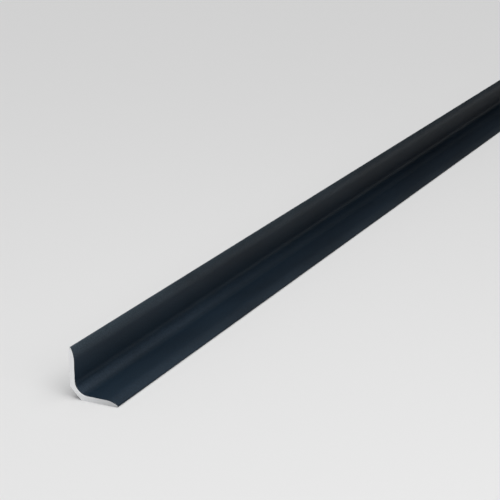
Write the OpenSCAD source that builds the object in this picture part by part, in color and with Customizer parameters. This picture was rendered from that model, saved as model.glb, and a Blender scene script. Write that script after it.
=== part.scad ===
// Inside corner trim: one extruded strip that lines the inner corner between two faces.
// Two equal legs with flat backs meet in a cove. Each leg thins to a rounded edge along its
// free side, and a flat across the back corner clears the joint that the strip covers.

/* [Stock] */
// Length of the strip, from one sawn end to the other
trim_length = 1000; // [500:10:3000]

/* [Legs] */
// Width of each leg along its back, as if the back corner were sharp
leg_width = 20; // [19:0.5:40]
// Thickness of the flat stretch of each leg
leg_thickness = 2; // [1.5:0.1:3]

/* [Corner] */
// Radius of the cove between the two visible faces
cove_radius = 5.3; // [3:0.1:8]
// Wall left between the middle of the cove and the flat across the back corner
corner_wall = 1.8; // [1:0.1:2.5]

/* [Edges] */
// Radius of the long curve by which a leg thins towards its free edge
taper_radius = 10.5; // [8:0.5:12]
// Thickness of the free edge, up to where its rounded corner begins
edge_thickness = 0.5; // [0.3:0.1:1]
// Radius of the rounded corner of the free edge
nose_radius = 0.3; // [0.1:0.05:0.35]

/* [Hidden] */
$fn = 240;
// How far a cut runs on past what it cuts away
overrun = 1;

// The cove starts and ends where the flat stretches of the legs begin
cove_end = leg_thickness + cove_radius;
cove_centre = [cove_end, cove_end];

// The flat across the back corner takes this much off each back face
back_corner_cut = 2 * cove_end - sqrt(2) * (cove_radius + corner_wall);

// The nose touches the end of the leg, and the taper's long curve from inside. The long curve
// starts so far from the end that it leaves the flat stretch without a crease.
nose_distance = taper_radius - nose_radius;
nose_rise = taper_radius - leg_thickness + edge_thickness;
nose_run = sqrt(pow(nose_distance, 2) - pow(nose_rise, 2));
nose_direction = [nose_run, nose_rise] / nose_distance;
nose_centre = [leg_width - nose_radius, edge_thickness];
taper_centre = nose_centre - [nose_run, nose_rise];

// What the long curve leaves out of a leg that lies along X
module taper_waste() {
    translate(taper_centre)
        difference() {
            square(taper_radius + overrun);
            circle(taper_radius);
        }
}

// The sharp corner outside the nose, from the line on which the two arcs meet
module nose_waste() {
    translate(nose_centre)
        difference() {
            polygon([[0, 0], overrun * nose_direction, [overrun, overrun], [overrun, 0]]);
            circle(nose_radius);
        }
}

// One leg from the end of the cove to its free edge, with its back on the X axis
module leg_section() {
    difference() {
        translate([cove_end, 0]) square([leg_width - cove_end, leg_thickness]);
        taper_waste();
        nose_waste();
    }
}

// The corner that joins the legs, hollowed by the cove
module cove_section() {
    difference() {
        square(cove_end);
        translate(cove_centre) circle(cove_radius);
    }
}

// The whole section, with its sharp back corner at the origin and one leg along each axis
module trim_section() {
    difference() {
        union() {
            cove_section();
            leg_section();
            mirror([1, -1]) leg_section();
        }
        rotate(45) square(sqrt(2) * back_corner_cut, center = true);
    }
}

// The strip lies along Y on the back of one leg, and the other leg stands up along its -X side
module corner_trim() {
    color([0.11, 0.14, 0.17])
        translate([-leg_width / 2, 0, 0])
            rotate([90, 0, 0])
                linear_extrude(height = trim_length, center = true) trim_section();
}

corner_trim();
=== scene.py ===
from math import acos, cos, pi, radians, sin, sqrt, tan

import bmesh
import bpy
from bpy.props import FloatProperty, FloatVectorProperty, IntProperty, PointerProperty
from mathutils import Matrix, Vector


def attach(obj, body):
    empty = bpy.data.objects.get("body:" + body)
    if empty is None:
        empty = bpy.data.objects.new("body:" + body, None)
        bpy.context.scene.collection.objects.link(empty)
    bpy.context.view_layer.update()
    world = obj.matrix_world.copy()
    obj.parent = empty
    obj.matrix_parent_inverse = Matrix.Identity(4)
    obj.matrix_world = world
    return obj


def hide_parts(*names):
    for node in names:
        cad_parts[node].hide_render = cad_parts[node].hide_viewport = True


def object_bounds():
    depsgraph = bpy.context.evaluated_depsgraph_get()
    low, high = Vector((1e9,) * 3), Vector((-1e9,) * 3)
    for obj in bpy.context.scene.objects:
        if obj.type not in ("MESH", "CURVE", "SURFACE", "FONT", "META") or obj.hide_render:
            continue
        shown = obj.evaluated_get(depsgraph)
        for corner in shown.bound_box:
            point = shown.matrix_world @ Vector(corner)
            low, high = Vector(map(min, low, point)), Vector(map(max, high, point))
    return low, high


bl_info = {
    "name": "Inside Corner Trim",
    "version": (1, 0, 0),
    "blender": (4, 5, 0),
    "location": "View3D > Sidebar > Corner Trim",
    "description": "Models a black coated inside corner trim with bare sawn ends in a plain studio",
    "category": "Add Mesh",
}

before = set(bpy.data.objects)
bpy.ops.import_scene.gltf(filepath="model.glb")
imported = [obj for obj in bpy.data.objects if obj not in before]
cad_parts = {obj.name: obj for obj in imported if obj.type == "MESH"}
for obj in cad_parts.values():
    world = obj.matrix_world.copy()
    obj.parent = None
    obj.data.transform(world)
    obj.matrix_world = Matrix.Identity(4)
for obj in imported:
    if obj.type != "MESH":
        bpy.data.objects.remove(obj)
CAD_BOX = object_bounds()
CAD_LOW, CAD_HIGH = CAD_BOX
MM = 0.001
# A face looks along an axis where at least this part of its normal points that way
LOOKS_ALONG = 0.9
# Faces that meet at a smaller angle than this are shaded as one
SMOOTH_ANGLE = radians(30.0)
# Gap between the pieces of the UV map, as a part of its width
MAP_GAP = 0.004
# Most of a noise texture's values lie between these two
NOISE_SPAN = (0.3, 0.7)
# Distance between two bands of a wave texture whose scale is 1
WAVE_STEP = 0.314


class TrimSection(bpy.types.PropertyGroup):
    """Sizes of the extruded strip."""

    length: FloatProperty(
        name="Length", description="From one sawn end to the other",
        default=CAD_HIGH.y - CAD_LOW.y, subtype="DISTANCE", unit="LENGTH")
    leg_width: FloatProperty(
        name="Leg Width", description="Width of each leg along its back",
        default=CAD_HIGH.x - CAD_LOW.x, subtype="DISTANCE", unit="LENGTH")
    leg_thickness: FloatProperty(
        name="Leg Thickness", description="Thickness of the flat stretch of each leg",
        default=2.0 * MM, subtype="DISTANCE", unit="LENGTH")
    cove_radius: FloatProperty(
        name="Cove Radius", description="Radius of the hollow between the two visible faces",
        default=5.3 * MM, subtype="DISTANCE", unit="LENGTH")
    corner_wall: FloatProperty(
        name="Corner Wall", description="Wall between the cove and the flat across the back corner",
        default=1.8 * MM, subtype="DISTANCE", unit="LENGTH")
    taper_radius: FloatProperty(
        name="Taper Radius", description="Radius of the long curve by which a leg thins",
        default=10.5 * MM, subtype="DISTANCE", unit="LENGTH")
    edge_thickness: FloatProperty(
        name="Edge Thickness", description="Thickness of the free edge below its rounding",
        default=0.5 * MM, subtype="DISTANCE", unit="LENGTH")
    nose_radius: FloatProperty(
        name="Nose Radius", description="Radius of the rounded corner of the free edge",
        default=0.3 * MM, subtype="DISTANCE", unit="LENGTH")
    back_easing: FloatProperty(
        name="Back Easing", description="How far the die rounds the sharp corners of the back",
        default=0.3 * MM, subtype="DISTANCE", unit="LENGTH")
    sawn_rim: FloatProperty(
        name="Sawn Rim", description="Chamfer that the file leaves round a sawn end",
        default=0.05 * MM, subtype="DISTANCE", unit="LENGTH")
    cove_steps: IntProperty(
        name="Cove Steps", description="Number of faces round the cove", default=24)
    taper_steps: IntProperty(
        name="Taper Steps", description="Number of faces over the taper of a leg", default=10)
    nose_steps: IntProperty(
        name="Nose Steps", description="Number of faces round a nose", default=6)
    easing_steps: IntProperty(
        name="Easing Steps", description="Number of faces round an eased corner", default=3)
    sheets: IntProperty(
        name="Sheets", description="Number of lengths that the UV map of the strip is cut into",
        default=4)
    bays: IntProperty(
        name="Bays", description="Number of bays that the mesh has along each of those lengths",
        default=10)

    @property
    def cove_end(self):
        """Where the cove meets the flat stretch of a leg, from the sharp back corner."""
        return self.leg_thickness + self.cove_radius

    @property
    def back_cut(self):
        """What the flat across the back corner takes off the width of each back."""
        return 2.0 * self.cove_end - sqrt(2.0) * (self.cove_radius + self.corner_wall)

    @property
    def hair(self):
        """A distance smaller than any detail of the strip, for telling places apart."""
        return self.sawn_rim / 10.0


class TrimFinish(bpy.types.PropertyGroup):
    """Colours and grain of the coat and of the sawn metal."""

    coat: FloatVectorProperty(
        name="Coat", description="Colour of the coat halfway along the strip",
        default=(0.0040, 0.0084, 0.0141), subtype="COLOR")
    # Painted light: the coat is made paler at both ends, in the place of brighter light there; it does
    # not lie thinner
    coat_end_light: FloatVectorProperty(
        name="Coat End", description="Colour of the coat at the ends, where it lies thinner",
        default=(0.0104, 0.0218, 0.0360), subtype="COLOR")
    # Painted light: this colour and the sizes below make the coat paler along the free edges of both
    # legs, in the place of the light the edges catch; nothing is worn there
    coat_edge_light: FloatVectorProperty(
        name="Rubbed Coat", description="What full rubbing of a free edge adds to the coat's colour",
        default=(0.0380, 0.0440, 0.0460), subtype="COLOR")
    top_light_reach: FloatProperty(
        name="Top Rub", description="How far down from its edge the standing leg is rubbed",
        default=4.5 * MM, subtype="DISTANCE", unit="LENGTH")
    top_light_middle: FloatProperty(
        name="Top Middle", description="Rubbing of the standing leg halfway along, beside 1 at its ends",
        default=0.55, subtype="FACTOR")
    toe_light_reach: FloatProperty(
        name="Toe Rub", description="How far in from its edge the lying leg is rubbed",
        default=4.0 * MM, subtype="DISTANCE", unit="LENGTH")
    toe_light_middle: FloatProperty(
        name="Toe Middle", description="Rubbing of the lying leg halfway along",
        default=0.34, subtype="FACTOR")
    toe_light_end: FloatProperty(
        name="Toe End", description="Rubbing of the lying leg at its ends",
        default=0.14, subtype="FACTOR")
    # Painted highlight: this colour and reach lighten the cove near the ends, in the place of a
    # reflection there
    cove_highlight: FloatVectorProperty(
        name="Thin Coat In Cove", description="What a thin coat adds to the cove's colour at an end",
        default=(0.0210, 0.0255, 0.0315), subtype="COLOR")
    cove_highlight_reach: FloatProperty(
        name="Cove Reach", description="How far out of the cove's depth the thin coat reaches",
        default=0.6 * MM, subtype="DISTANCE", unit="LENGTH")
    coat_mottle: FloatProperty(
        name="Coat Mottle", description="How much darker and paler the grain makes the coat",
        default=0.50, subtype="FACTOR")
    coat_shine: FloatProperty(
        name="Coat Shine", description="How strongly the coat mirrors the room",
        default=0.375, subtype="FACTOR")
    coat_roughness: FloatProperty(
        name="Coat Roughness", description="How matt the coat is", default=0.385, subtype="FACTOR")
    coat_unevenness: FloatProperty(
        name="Coat Unevenness", description="How much more and less matt the grain makes the coat",
        default=0.04, subtype="FACTOR")
    grain: FloatProperty(
        name="Grain", description="Size of the fine grain of the coat",
        default=0.5 * MM, subtype="DISTANCE", unit="LENGTH")
    grain_height: FloatProperty(
        name="Grain Height", description="Height of the fine grain of the coat",
        default=0.012 * MM, subtype="DISTANCE", unit="LENGTH")
    grain_share: FloatProperty(
        name="Grain Share", description="How much of the mottle is grain, and not large patches",
        default=0.6, subtype="FACTOR")
    peel: FloatProperty(
        name="Orange Peel", description="Size of the slow waves in the coat",
        default=2.0 * MM, subtype="DISTANCE", unit="LENGTH")
    peel_height: FloatProperty(
        name="Orange Peel Height", description="Height of the slow waves in the coat",
        default=0.018 * MM, subtype="DISTANCE", unit="LENGTH")
    die_line: FloatProperty(
        name="Die Line", description="Length of the faint lines that the die left in the metal",
        default=100.0 * MM, subtype="DISTANCE", unit="LENGTH")
    die_height: FloatProperty(
        name="Die Line Height", description="Height of the faint lines of the die",
        default=0.0018 * MM, subtype="DISTANCE", unit="LENGTH")
    patch_width: FloatProperty(
        name="Patch Width", description="Width of the large patches of the mottle",
        default=12.0 * MM, subtype="DISTANCE", unit="LENGTH")
    patch_length: FloatProperty(
        name="Patch Length", description="Length of the large patches of the mottle",
        default=60.0 * MM, subtype="DISTANCE", unit="LENGTH")
    metal: FloatVectorProperty(
        name="Sawn Metal", description="Colour of the bare metal",
        default=(0.95, 0.96, 0.97), subtype="COLOR")
    metal_dull: FloatVectorProperty(
        name="Dull Metal", description="Colour of the bare metal in the marks of the saw",
        default=(0.88, 0.89, 0.90), subtype="COLOR")
    metal_roughness: FloatProperty(
        name="Metal Roughness", description="How matt the sawn metal is",
        default=0.38, subtype="FACTOR")
    metal_unevenness: FloatProperty(
        name="Metal Unevenness", description="How much more and less matt the tear makes the metal",
        default=0.06, subtype="FACTOR")
    # Painted shade: the sawn metal is made darker towards the toe, where it lies near the floor
    sawn_end_shade: FloatProperty(
        name="Saw Exit", description="How much of its brightness the metal keeps where the saw left it",
        default=0.58, subtype="FACTOR")
    saw_slant: FloatProperty(
        name="Saw Slant", description="Turn of the saw's marks on the sawn end",
        default=radians(-28.0), subtype="ANGLE", unit="ROTATION")
    saw_pitch: FloatProperty(
        name="Saw Pitch", description="Distance between two marks of the saw",
        default=0.4 * MM, subtype="DISTANCE", unit="LENGTH")
    saw_height: FloatProperty(
        name="Saw Height", description="Height of the marks of the saw and of the tear",
        default=0.004 * MM, subtype="DISTANCE", unit="LENGTH")
    mark_share: FloatProperty(
        name="Mark Share", description="How much of the sawn relief is marks, and not tear",
        default=0.6, subtype="FACTOR")
    tear: FloatProperty(
        name="Tear", description="Size of the fine tear between the marks of the saw",
        default=0.1 * MM, subtype="DISTANCE", unit="LENGTH")


class TrimStudio(bpy.types.PropertyGroup):
    """The floor, the room's light, the lamps and the camera."""

    floor: FloatVectorProperty(
        name="Floor", description="Colour of the floor", default=(0.80, 0.80, 0.80), subtype="COLOR")
    floor_width: FloatProperty(
        name="Floor Width", description="Width of the floor, which ends out of sight",
        default=40.0, subtype="DISTANCE", unit="LENGTH")
    ceiling_light: FloatProperty(
        name="Ceiling Light", description="Brightness of the room's pale ceiling", default=1.34)
    ceiling_edge: FloatProperty(
        name="Ceiling Edge", description="How high above the horizon the ceiling begins",
        default=radians(40.4), subtype="ANGLE", unit="ROTATION")
    ceiling_softness: FloatProperty(
        name="Ceiling Softness",
        description="What Z of a direction of length 1 gains over the ceiling's soft edge",
        default=0.05)
    wall_light: FloatProperty(
        name="Wall Light", description="Brightness of the room's wall on the left", default=0.25)
    wall_full: FloatProperty(
        name="Wall Full", description="X of a direction of length 1 where the wall is fully lit",
        default=-0.42)
    wall_end: FloatProperty(
        name="Wall End", description="X of a direction of length 1 where the wall's light ends",
        default=-0.13)
    front_place: FloatVectorProperty(
        name="Front Place", description="Place of the lamp in front of the near end",
        default=(0.30, -1.30, 0.80), subtype="TRANSLATION", unit="LENGTH")
    front_power: FloatProperty(
        name="Front Power", description="Power of the lamp in front of the near end",
        default=0.62, subtype="POWER", unit="POWER")
    top_place: FloatVectorProperty(
        name="Top Place", description="Place of the lamp over the near end",
        default=(0.00, -0.60, 0.50), subtype="TRANSLATION", unit="LENGTH")
    top_power: FloatProperty(
        name="Top Power", description="Power of the lamp over the near end",
        default=0.18, subtype="POWER", unit="POWER")
    right_place: FloatVectorProperty(
        name="Right Place", description="Place of the lamp to the right of the near end",
        default=(0.50, -0.70, 0.40), subtype="TRANSLATION", unit="LENGTH")
    right_power: FloatProperty(
        name="Right Power", description="Power of the lamp to the right of the near end",
        default=0.86, subtype="POWER", unit="POWER")
    lamp_aim: FloatVectorProperty(
        name="Lamp Aim", description="Place on the floor that the lamps face",
        default=(0.00, -0.40, 0.00), subtype="TRANSLATION", unit="LENGTH")
    lamp_size: FloatProperty(
        name="Lamp Size", description="Width and height of each lamp",
        default=0.40, subtype="DISTANCE", unit="LENGTH")
    lens: FloatProperty(
        name="Lens", description="Focal length of the camera",
        default=107.898, subtype="DISTANCE_CAMERA")
    camera_turn: FloatProperty(
        name="Camera Turn", description="Turn of the camera from the strip's length",
        default=radians(26.0013), subtype="ANGLE", unit="ROTATION")
    camera_tilt: FloatProperty(
        name="Camera Tilt", description="How far the camera looks down",
        default=radians(18.2017), subtype="ANGLE", unit="ROTATION")
    camera_place: FloatVectorProperty(
        name="Camera Place", description="Place of the camera from the back corner of the near end",
        default=(280.965 * MM, -425.781 * MM, 223.522 * MM), subtype="TRANSLATION", unit="LENGTH")


def select_only(kind, test):
    """Selects the edit mesh's VERT, EDGE or FACE parts that pass the test, and nothing else."""
    bpy.ops.mesh.select_mode(type=kind)
    bpy.ops.mesh.select_all(action="DESELECT")
    data = bpy.context.edit_object.data
    mesh = bmesh.from_edit_mesh(data)
    parts = {"VERT": mesh.verts, "EDGE": mesh.edges, "FACE": mesh.faces}[kind]
    for part in parts:
        if test(part):
            part.select_set(True)
    bmesh.update_edit_mesh(data)


class Pen:
    """Draws an outline across the near end, by extruding and spinning one vertex.

    A point of the outline is (across, up) from the sharp back corner.
    """

    def __init__(self, corner, start):
        self.corner = corner
        self.point = start
        bpy.ops.object.select_all(action="DESELECT")
        bpy.ops.mesh.primitive_plane_add(size=MM, location=self.place(start))
        bpy.ops.object.transform_apply(location=True, rotation=True, scale=True)
        bpy.ops.object.mode_set(mode="EDIT")
        bpy.ops.mesh.merge(type="CENTER")

    def place(self, point):
        """The place of a point of the outline in the part's frame."""
        return self.corner + Vector((point[0], 0.0, point[1]))

    def line(self, point):
        """Draws straight to a point."""
        step = self.place(point) - self.place(self.point)
        bpy.ops.mesh.extrude_region_move(TRANSFORM_OT_translate={"value": step})
        self.point = point

    def arc(self, centre, angle, steps):
        """Draws round a centre, anticlockwise in (across, up) where the angle is positive."""
        bpy.ops.mesh.spin(
            steps=steps, angle=angle, center=self.place(centre), axis=(0.0, 1.0, 0.0))
        across, up = self.point[0] - centre[0], self.point[1] - centre[1]
        self.point = (
            centre[0] + across * cos(angle) - up * sin(angle),
            centre[1] + across * sin(angle) + up * cos(angle))

    def close(self, weld):
        """Joins the two ends of the outline, which meet, and fills it."""
        bpy.ops.mesh.select_all(action="SELECT")
        bpy.ops.mesh.remove_doubles(threshold=weld)
        bpy.ops.mesh.select_all(action="SELECT")
        bpy.ops.mesh.edge_face_add()


def draw_section(size, corner):
    """Draws the filled section of the strip at its near end, in edit mode."""
    width, wall = size.leg_width, size.leg_thickness
    cove_end, back_cut = size.cove_end, size.back_cut
    middle_of_cut = (back_cut / 2.0, back_cut / 2.0)

    # The nose touches the taper's long curve from inside, at this angle from the leg's normal
    rise = size.taper_radius - wall + size.edge_thickness
    turn = acos(rise / (size.taper_radius - size.nose_radius))
    nose = (width - size.nose_radius, size.edge_thickness)
    taper = (nose[0] - rise * tan(turn), wall - size.taper_radius)
    rest = pi / 2.0 - turn

    pen = Pen(corner, middle_of_cut)
    pen.line((back_cut, 0.0))
    pen.line((width, 0.0))
    pen.line((width, nose[1]))
    pen.arc(nose, rest, size.nose_steps)
    pen.arc(taper, turn, size.taper_steps)
    pen.line((cove_end, wall))
    pen.arc((cove_end, cove_end), -pi / 2.0, size.cove_steps)
    pen.line((wall, taper[0]))
    pen.arc((taper[1], taper[0]), turn, size.taper_steps)
    pen.arc((nose[1], nose[0]), rest, size.nose_steps)
    pen.line((0.0, width))
    pen.line((0.0, back_cut))
    pen.line(middle_of_cut)
    pen.close(weld=size.hair)


def ease_back(size, corner):
    """Rounds the corners that the die leaves along the two backs."""
    def on_back(vertex):
        place = vertex.co - corner
        return min(place.x, place.z) < size.hair

    select_only("VERT", on_back)
    bpy.ops.mesh.bevel(
        affect="VERTICES", offset=size.back_easing, segments=size.easing_steps)


def pull_out(size):
    """Pulls the section out to the strip's length, less the rims, one bay after another."""
    bays = size.sheets * size.bays
    bay = (size.length - 2.0 * size.sawn_rim) / bays
    bpy.ops.mesh.select_all(action="SELECT")
    for _ in range(bays):
        bpy.ops.mesh.extrude_region_move(TRANSFORM_OT_translate={"value": (0.0, bay, 0.0)})
    bpy.ops.mesh.select_all(action="SELECT")
    bpy.ops.mesh.normals_make_consistent(inside=False)


def saw_ends(size):
    """Raises each sawn end by its filed rim, and gives the end and the rim the bare metal."""
    select_only("FACE", lambda face: abs(face.normal.y) > LOOKS_ALONG)
    bpy.ops.mesh.inset(thickness=size.sawn_rim, depth=size.sawn_rim, use_even_offset=True)

    def is_sawn(face):
        return abs(face.calc_center_median().y) > size.length / 2.0 - size.sawn_rim + size.hair

    select_only("FACE", is_sawn)
    bpy.context.object.active_material_index = 1
    bpy.ops.object.material_slot_assign()


def order_faces():
    """Puts the faces in the order of their corners, so that each run gives the same mesh."""
    data = bpy.context.edit_object.data
    mesh = bmesh.from_edit_mesh(data)
    mesh.verts.index_update()

    def rank(face):
        # No two faces have both their first and their last corner in common
        corners = [vertex.index for vertex in face.verts]
        return min(corners) * len(mesh.verts) + max(corners)

    mesh.faces.sort(key=rank)
    mesh.faces.index_update()
    bmesh.update_edit_mesh(data)


def unfold(size, corner):
    """Gives the strip its UV map: equal lengths slit along the back corner, and the two ends."""
    sheet = (size.length - 2.0 * size.sawn_rim) / size.sheets
    slit = corner + Vector((size.back_cut / 2.0, 0.0, size.back_cut / 2.0))

    def is_cut(edge):
        start, end = (vertex.co for vertex in edge.verts)
        if abs(start.y - end.y) > size.hair:
            return all(
                max(abs(place.x - slit.x), abs(place.z - slit.z)) < size.hair
                for place in (start, end))
        sheets_on = (start.y - corner.y) / sheet
        return abs(sheets_on - round(sheets_on)) * sheet < size.hair

    select_only("EDGE", is_cut)
    bpy.ops.mesh.mark_seam(clear=False)
    bpy.ops.mesh.select_mode(type="FACE")
    bpy.ops.mesh.select_all(action="SELECT")
    bpy.ops.uv.unwrap(method="CONFORMAL", margin=0.0)
    bpy.ops.uv.average_islands_scale()
    bpy.ops.uv.pack_islands(
        rotate_method="AXIS_ALIGNED", shape_method="CONCAVE",
        margin_method="SCALED", margin=MAP_GAP)
    bpy.context.object.data.uv_layers.active.name = "OFBake"


class NodeBoard:
    """The nodes of a new material or world, with calls that add one and join it to the others."""

    def __init__(self, owner, coordinates):
        owner.use_nodes = True
        self.owner = owner
        self.nodes = owner.node_tree.nodes
        self.links = owner.node_tree.links
        self.place = self.add("ShaderNodeTexCoord").outputs[coordinates]

    def join(self, value, socket):
        """Links a socket to another node's output, or sets it to a plain value."""
        if isinstance(value, bpy.types.NodeSocket):
            self.links.new(value, socket)
        else:
            socket.default_value = value

    def fill(self, node, inputs):
        """Joins or sets the inputs of a node by their names."""
        for name, value in inputs.items():
            self.join(value, node.inputs[name])

    def add(self, kind, inputs=None, **settings):
        """Adds a node with its settings and with its inputs joined or set."""
        node = self.nodes.new(kind)
        for name, value in settings.items():
            setattr(node, name, value)
        self.fill(node, inputs or {})
        return node

    def operate(self, kind, operation, values):
        """Adds a node of maths with its values joined or set in their order."""
        node = self.add(kind, operation=operation)
        for value, socket in zip(values, node.inputs):
            self.join(value, socket)
        return node

    def combine(self, operation, *values):
        """The sum, product or other combination of values."""
        return self.operate("ShaderNodeMath", operation, values).outputs["Value"]

    def combine_colours(self, operation, *colours):
        """The sum, product or other combination of colours, or of a colour with a value."""
        return self.operate("ShaderNodeVectorMath", operation, colours).outputs["Vector"]

    def weigh(self, first, second, share):
        """The sum of a share of one value and the rest of another."""
        return self.combine(
            "ADD", self.combine("MULTIPLY", first, share),
            self.combine("MULTIPLY", second, 1.0 - share))

    def noise(self, width, length=None, detail=2.0):
        """Noise from 0 to 1 with lumps of a width, and of a length along the strip, in metres."""
        scale = (1.0 / width, 1.0 / (length or width), 1.0 / width)
        mapping = self.add("ShaderNodeMapping", {"Vector": self.place, "Scale": scale})
        inputs = {"Vector": mapping.outputs["Vector"], "Scale": 1.0, "Detail": detail}
        return self.add("ShaderNodeTexNoise", inputs).outputs["Fac"]

    def spread(self, value, low, high, between=(0.0, 1.0), interpolation="LINEAR"):
        """A value that runs from low to high while another runs between two values."""
        inputs = {
            "Value": value, "From Min": between[0], "From Max": between[1],
            "To Min": low, "To Max": high}
        node = self.add("ShaderNodeMapRange", inputs, interpolation_type=interpolation)
        return node.outputs["Result"]

    def vary(self, noise, middle, change):
        """A value that noise takes down and up from its middle by a change."""
        return self.spread(noise, middle - change, middle + change, between=NOISE_SPAN)

    def blend(self, value, low, high, between=(0.0, 1.0)):
        """A colour that runs from low to high while a value runs between two values."""
        node = self.add("ShaderNodeValToRGB", {"Fac": value})
        for stop, position, colour in zip(node.color_ramp.elements, between, (low, high)):
            stop.position = position
            stop.color = (*colour, 1.0)
        return node.outputs["Color"]

    def bump(self, height, distance, under=None):
        """A normal raised by a height from 0 to 1 that stands for a distance in metres."""
        inputs = {"Height": height, "Distance": distance}
        if under is not None:
            inputs["Normal"] = under
        return self.add("ShaderNodeBump", inputs).outputs["Normal"]


def brightening(board, size, finish, place, at_end):
    """How much painted light brightens the coat along the free edges of the two legs: on the standing
    leg most at the ends, on the lying leg most halfway along.
    """
    top_share = board.spread(at_end, finish.top_light_middle, 1.0)
    top_edge = CAD_LOW.z + size.leg_width
    top = board.spread(place["Z"], 0.0, top_share, between=(top_edge - finish.top_light_reach, top_edge))
    toe_share = board.spread(at_end, finish.toe_light_middle, finish.toe_light_end)
    toe_edge = CAD_LOW.x + size.leg_width
    toe = board.spread(place["X"], 0.0, toe_share, between=(toe_edge - finish.toe_light_reach, toe_edge))
    return board.combine("ADD", top, toe)


def painted_cove_highlight(board, size, finish, place, at_end):
    """How strongly a painted highlight lightens the cove, most at its deepest place near the ends."""
    axis = Vector((CAD_LOW.x + size.cove_end, 0.0, CAD_LOW.z + size.cove_end))
    deepest = axis.x + axis.z - sqrt(2.0) * size.cove_radius
    # Over the cove, the sum of X and Z is least at its deepest place
    total = board.combine("ADD", place["X"], place["Z"])
    depth = board.spread(total, 1.0, 0.0, between=(deepest, deepest + finish.cove_highlight_reach))

    # The sum is small on the backs too, which get no painted highlight and are further from the axis
    section = board.add("ShaderNodeCombineXYZ", {"X": place["X"], "Z": place["Z"]})
    from_axis = board.operate(
        "ShaderNodeVectorMath", "DISTANCE", (section.outputs["Vector"], axis)).outputs["Value"]
    on_face = board.combine("LESS_THAN", from_axis, size.cove_radius + size.corner_wall / 2.0)
    near_end = board.combine("POWER", at_end, 2.0)
    return board.combine("MULTIPLY", board.combine("MULTIPLY", depth, on_face), near_end)


def coat_colour(board, size, finish, tone):
    """The coat's mottled colour, with painted light that makes it paler at the ends, along the free
    edges and in the cove.
    """
    place = board.add("ShaderNodeSeparateXYZ", {"Vector": board.place}).outputs
    from_middle = board.combine("MULTIPLY", place["Y"], place["Y"])
    at_end = board.spread(from_middle, 0.0, 1.0, between=(0.0, (size.length / 2.0) ** 2))
    # Painted light: this colour grows paler towards both ends
    plain = board.blend(at_end, finish.coat, finish.coat_end_light)
    # Painted light along the free edges of both legs
    edge_light = brightening(board, size, finish, place, at_end)
    brightened = board.combine_colours("MULTIPLY_ADD", edge_light, finish.coat_edge_light, plain)
    # Painted highlight in the cove near the ends
    highlighted = painted_cove_highlight(board, size, finish, place, at_end)
    with_cove_highlight = board.combine_colours("MULTIPLY_ADD", highlighted, finish.cove_highlight, brightened)
    return board.combine_colours("MULTIPLY", with_cove_highlight, board.vary(tone, 1.0, finish.coat_mottle))


def black_coat(size, finish):
    """The matt black coat: fine grain over a slow orange peel, with faint lines of the die."""
    board = NodeBoard(bpy.data.materials.new("trim_black_coat"), "Object")
    grain = board.noise(finish.grain, detail=3.0)
    peel = board.noise(finish.peel)
    die_lines = board.noise(finish.grain, finish.die_line)
    patches = board.noise(finish.patch_width, finish.patch_length, detail=3.0)
    tone = board.weigh(grain, patches, finish.grain_share)

    lines = board.bump(die_lines, finish.die_height)
    peeled = board.bump(peel, finish.peel_height, under=lines)
    relief = board.bump(grain, finish.grain_height, under=peeled)
    # The gloss comes from the coat layer alone, so that one value sets its strength
    board.fill(board.nodes["Principled BSDF"], {
        "Base Color": coat_colour(board, size, finish, tone),
        "Roughness": board.vary(tone, finish.coat_roughness, finish.coat_unevenness),
        "Specular IOR Level": 0.0,
        "Coat Weight": finish.coat_shine,
        "Coat Roughness": finish.coat_roughness,
        "Normal": relief,
        "Coat Normal": relief})
    return board.owner


def sawn_metal(size, finish):
    """Bare metal where the saw cut the strip: slanting marks over a fine tear, with painted shade that
    darkens it towards the toe.
    """
    board = NodeBoard(bpy.data.materials.new("trim_sawn_metal"), "Object")
    slanted = board.add("ShaderNodeMapping", {
        "Vector": board.place, "Rotation": (0.0, finish.saw_slant, 0.0)}).outputs["Vector"]
    marks = board.add("ShaderNodeTexWave", {
        "Vector": slanted, "Scale": WAVE_STEP / finish.saw_pitch,
        "Distortion": 1.5, "Detail": 2.0, "Detail Scale": 2.0}, bands_direction="X").outputs["Fac"]
    tear = board.noise(finish.tear, detail=3.0)
    relief = board.weigh(marks, tear, finish.mark_share)

    across = board.add("ShaderNodeSeparateXYZ", {"Vector": board.place}).outputs["X"]
    # Painted shade, darker towards the toe
    shade = board.spread(
        across, 1.0, finish.sawn_end_shade,
        between=(CAD_LOW.x + size.leg_thickness, CAD_LOW.x + size.leg_width))
    marked = board.blend(relief, finish.metal_dull, finish.metal, between=NOISE_SPAN)
    board.fill(board.nodes["Principled BSDF"], {
        "Base Color": board.combine_colours("MULTIPLY", marked, shade),
        "Roughness": board.vary(tear, finish.metal_roughness, finish.metal_unevenness),
        "Metallic": 1.0,
        "Normal": board.bump(relief, finish.saw_height)})
    return board.owner


def floor_paint(studio):
    """The matt paint of the floor."""
    board = NodeBoard(bpy.data.materials.new("studio_floor"), "Object")
    board.fill(board.nodes["Principled BSDF"], {
        "Base Color": (*studio.floor, 1.0), "Roughness": 1.0, "Specular IOR Level": 0.0})
    return board.owner


def studio_room(studio):
    """A room with a pale lit ceiling, a dim wall on the left and dark walls elsewhere."""
    board = NodeBoard(bpy.data.worlds.new("studio_room"), "Generated")
    direction = board.add("ShaderNodeSeparateXYZ", {"Vector": board.place}).outputs
    wall = board.spread(
        direction["X"], studio.wall_light, 0.0,
        between=(studio.wall_full, studio.wall_end), interpolation="SMOOTHSTEP")
    edge = sin(studio.ceiling_edge)
    room = board.spread(
        direction["Z"], wall, studio.ceiling_light,
        between=(edge, edge + studio.ceiling_softness), interpolation="SMOOTHSTEP")
    board.fill(board.nodes["Background"], {"Color": (1.0, 1.0, 1.0, 1.0), "Strength": room})
    return board.owner


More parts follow.
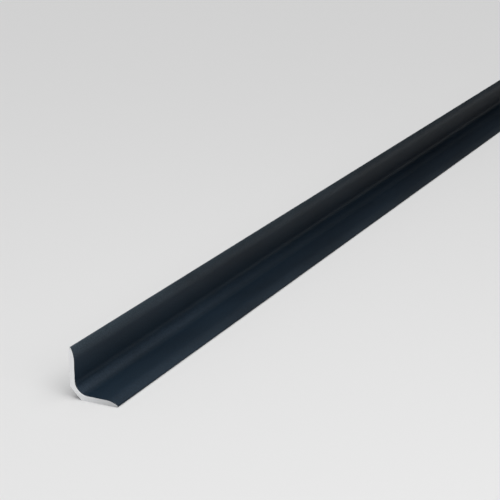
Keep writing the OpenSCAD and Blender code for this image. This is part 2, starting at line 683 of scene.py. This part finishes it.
class TRIM_OT_add_strip(bpy.types.Operator):
    """Models the coated strip with its sawn ends"""

    bl_idname = "trim.add_strip"
    bl_label = "Add Strip"
    bl_options = {"REGISTER", "UNDO"}

    def execute(self, context):
        size = context.scene.trim_section
        finish = context.scene.trim_finish
        corner = Vector((CAD_LOW.x, CAD_LOW.y + size.sawn_rim, CAD_LOW.z))
        draw_section(size, corner)
        strip = context.object
        strip.name = "strip"
        strip.data.name = "strip"
        strip.data.materials.append(black_coat(size, finish))
        strip.data.materials.append(sawn_metal(size, finish))
        ease_back(size, corner)
        pull_out(size)
        saw_ends(size)
        order_faces()
        unfold(size, corner)
        bpy.ops.object.mode_set(mode="OBJECT")
        bpy.ops.object.shade_smooth_by_angle(angle=SMOOTH_ANGLE)
        bpy.ops.object.modifier_add(type="WEIGHTED_NORMAL")
        strip.modifiers[-1].keep_sharp = True
        bpy.ops.object.modifier_apply(modifier=strip.modifiers[-1].name)
        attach(strip, "root")
        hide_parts("corner_trim")
        return {"FINISHED"}


class TRIM_OT_add_studio(bpy.types.Operator):
    """Adds the floor, the even light of the room and the lamps"""

    bl_idname = "trim.add_studio"
    bl_label = "Add Studio"
    bl_options = {"REGISTER", "UNDO"}

    def execute(self, context):
        studio = context.scene.trim_studio
        bpy.ops.object.select_all(action="DESELECT")
        bpy.ops.mesh.primitive_plane_add(
            size=studio.floor_width, location=(0.0, 0.0, CAD_LOW.z))
        floor = context.object
        floor.name = "studio_floor"
        floor.data.materials.append(floor_paint(studio))

        context.scene.world = studio_room(studio)
        context.scene.view_settings.view_transform = "Standard"
        for name, place, power in (
                ("front_lamp", studio.front_place, studio.front_power),
                ("top_lamp", studio.top_place, studio.top_power),
                ("right_lamp", studio.right_place, studio.right_power)):
            towards_lamp = Vector(place) - Vector(studio.lamp_aim)
            bpy.ops.object.light_add(
                type="AREA", location=place,
                rotation=towards_lamp.to_track_quat("Z", "Y").to_euler())
            lamp = context.object
            lamp.name = name
            lamp.data.size = studio.lamp_size
            lamp.data.energy = power
            lamp.visible_camera = False
        return {"FINISHED"}


class TRIM_OT_add_camera(bpy.types.Operator):
    """Adds the camera that looks along the strip from above its near end"""

    bl_idname = "trim.add_camera"
    bl_label = "Add Camera"
    bl_options = {"REGISTER", "UNDO"}

    def execute(self, context):
        studio = context.scene.trim_studio
        bpy.ops.object.camera_add(
            location=CAD_LOW + Vector(studio.camera_place),
            rotation=(pi / 2.0 - studio.camera_tilt, 0.0, studio.camera_turn))
        camera = context.object
        camera.name = "camera"
        camera.data.lens = studio.lens
        camera.data.clip_start = 10.0 * MM
        context.scene.camera = camera
        return {"FINISHED"}


class TRIM_PT_panel(bpy.types.Panel):
    """Lists the trim's operators and sizes"""

    bl_idname = "TRIM_PT_panel"
    bl_label = "Corner Trim"
    bl_space_type = "VIEW_3D"
    bl_region_type = "UI"
    bl_category = "Corner Trim"

    def draw(self, context):
        parts = (
            (TRIM_OT_add_strip, (context.scene.trim_section, context.scene.trim_finish)),
            (TRIM_OT_add_studio, (context.scene.trim_studio,)),
            (TRIM_OT_add_camera, ()))
        for operator, groups in parts:
            box = self.layout.box()
            box.operator(operator.bl_idname)
            for group in groups:
                for name in group.__annotations__:
                    box.prop(group, name)


GROUPS = {"trim_section": TrimSection, "trim_finish": TrimFinish, "trim_studio": TrimStudio}
CLASSES = (
    *GROUPS.values(), TRIM_OT_add_strip, TRIM_OT_add_studio, TRIM_OT_add_camera, TRIM_PT_panel)


def register():
    for item in CLASSES:
        bpy.utils.register_class(item)
    for name, group in GROUPS.items():
        setattr(bpy.types.Scene, name, PointerProperty(type=group))


def unregister():
    for name in GROUPS:
        delattr(bpy.types.Scene, name)
    for item in reversed(CLASSES):
        bpy.utils.unregister_class(item)


def main():
    """Makes the trim, its studio and the camera."""
    register()
    bpy.ops.trim.add_strip()
    bpy.ops.trim.add_studio()
    bpy.ops.trim.add_camera()


if __name__ == "__main__":
    main()
